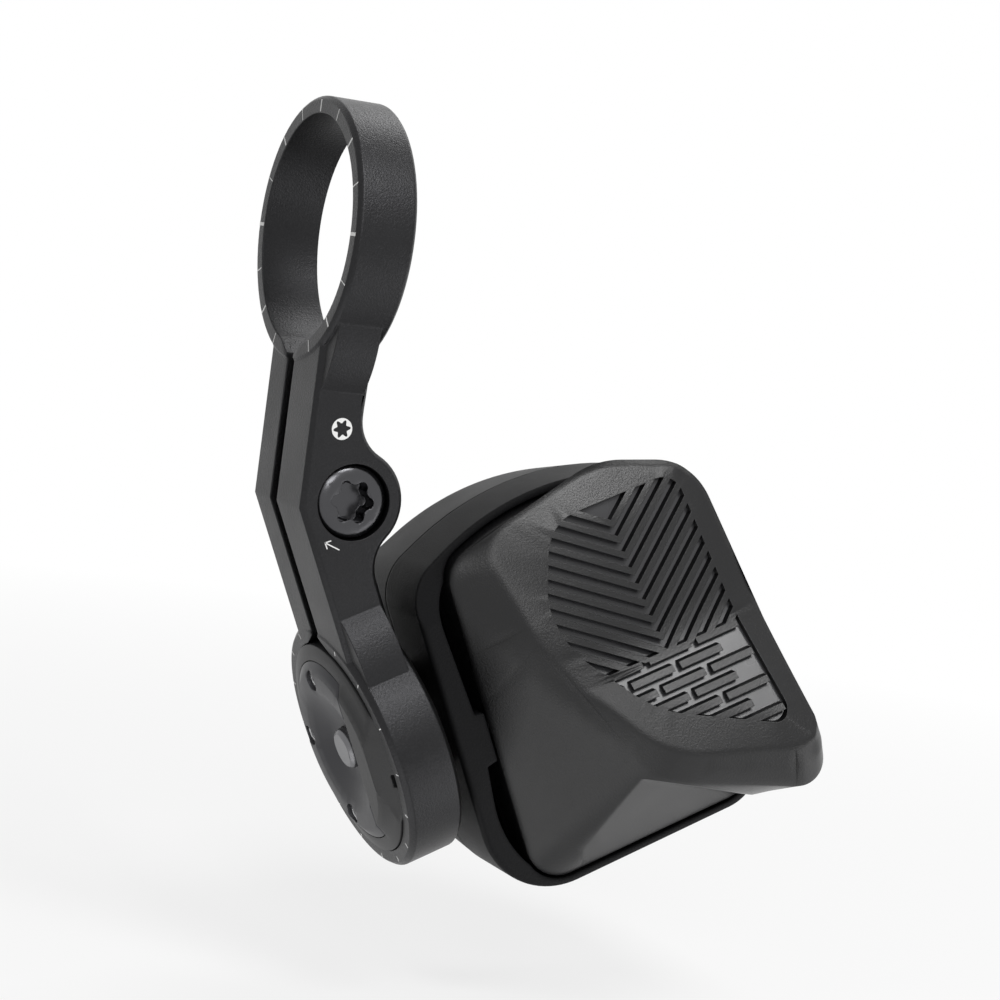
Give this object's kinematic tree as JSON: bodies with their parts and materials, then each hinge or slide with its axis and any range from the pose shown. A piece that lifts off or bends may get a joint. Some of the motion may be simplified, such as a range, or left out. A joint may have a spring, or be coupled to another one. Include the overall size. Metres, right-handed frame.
{
  "type": "electronic shift controller",
  "caption": "Handlebar shift controller: slit clamp with a swivelling pod that carries a ribbed thumb rocker and a small function button.",
  "frame": {"origin": "centre of the handlebar bore, midway along its width", "axes": "+X along the handlebar, away from the visible face of the handlebar ring; +Z from the pod towards the handlebar; -Y faces the head of the clamp bolt and the rider's thumb"},
  "size_m": [0.055, 0.0362, 0.0749],
  "materials": {
    "clamp_metal": "fine bead-blasted, black anodised",
    "bolt_steel": "turned, dark nickel finish",
    "boss_body": "fine-grained glass-filled nylon",
    "plate_metal": "satin, dark grey anodised",
    "screw_steel": "bright turned steel",
    "button_metal": "satin, clear anodised",
    "housing_plastic": "fine-grained moulded nylon",
    "paddle_plastic": "fine-grained moulded nylon",
    "inner_plastic": "moulded acetal",
    "seal_rubber": "smooth silicone rubber",
    "board": "solder-mask lacquer over glass-epoxy board",
    "switch_body": "moulded",
    "shield_steel": "tinned sheet steel",
    "cell_steel": "nickel-plated steel",
    "contact_brass": "spring brass"
  },
  "bodies": {
    "clamp_body": {"clamp": "clamp_metal", "clamp_bolt": "bolt_steel"},
    "pod": {"swivel_boss": "boss_body", "boss_plate": "plate_metal", "boss_screws": "screw_steel", "button_seal": "seal_rubber", "button_switch": "switch_body", "button_board": "board", "bezel": "housing_plastic", "back_shell": "housing_plastic", "shell_gasket": "seal_rubber", "shell_screws": "screw_steel", "battery_cover": "housing_plastic", "cover_gasket": "seal_rubber", "cover_screws": "screw_steel", "coin_cell": "cell_steel", "cell_cup": "inner_plastic", "cell_contact_base": "contact_brass", "cell_contact_side": "contact_brass", "circuit_board": "board", "radio_shield": "shield_steel", "upper_switch": "switch_body", "lower_switch": "switch_body", "upper_plunger_seal": "seal_rubber", "lower_plunger_seal": "seal_rubber", "pivot_pin": "screw_steel"},
    "rocker": {"rocker_paddle": "paddle_plastic", "rocker_carrier": "inner_plastic", "paddle_screw": "screw_steel"},
    "upper_push": {"upper_plunger": "inner_plastic"},
    "lower_push": {"lower_plunger": "inner_plastic"},
    "button": {"function_button": "button_metal"}
  },
  "joints": [
    {"name": "pod_swivel", "type": "hinge", "parent": "clamp_body", "child": "pod", "pos_m": [0.0112, 0, -0.049], "axis": [0.9026, 0, 0.4305], "range_deg": [-60, 60]},
    {"name": "rocker_tilt", "type": "hinge", "parent": "pod", "child": "rocker", "pos_m": [0.03192, -0.0046, -0.04133], "axis": [0.9026, 0, 0.4305], "range_deg": [-2.5, 2.5], "stiffness_Nm_per_rad": 0.8},
    {"name": "upper_push_slide", "type": "slide", "parent": "pod", "child": "upper_push", "axis": [0, -1, 0], "range_m": [-0.00044, 0.00044]},
    {"name": "lower_push_slide", "type": "slide", "parent": "pod", "child": "lower_push", "axis": [0, -1, 0], "range_m": [-0.00044, 0.00044]},
    {"name": "button_press", "type": "slide", "parent": "pod", "child": "button", "axis": [0.9026, 0, 0.4305], "range_m": [0, 0.0004], "stiffness_N_per_m": 1500, "springref_m": -0.0003}
  ],
  "couplings": [
    {"joint": "upper_push_slide", "follows": "rocker_tilt", "m_per_rad": 0.01},
    {"joint": "lower_push_slide", "follows": "rocker_tilt", "m_per_rad": -0.01}
  ]
}
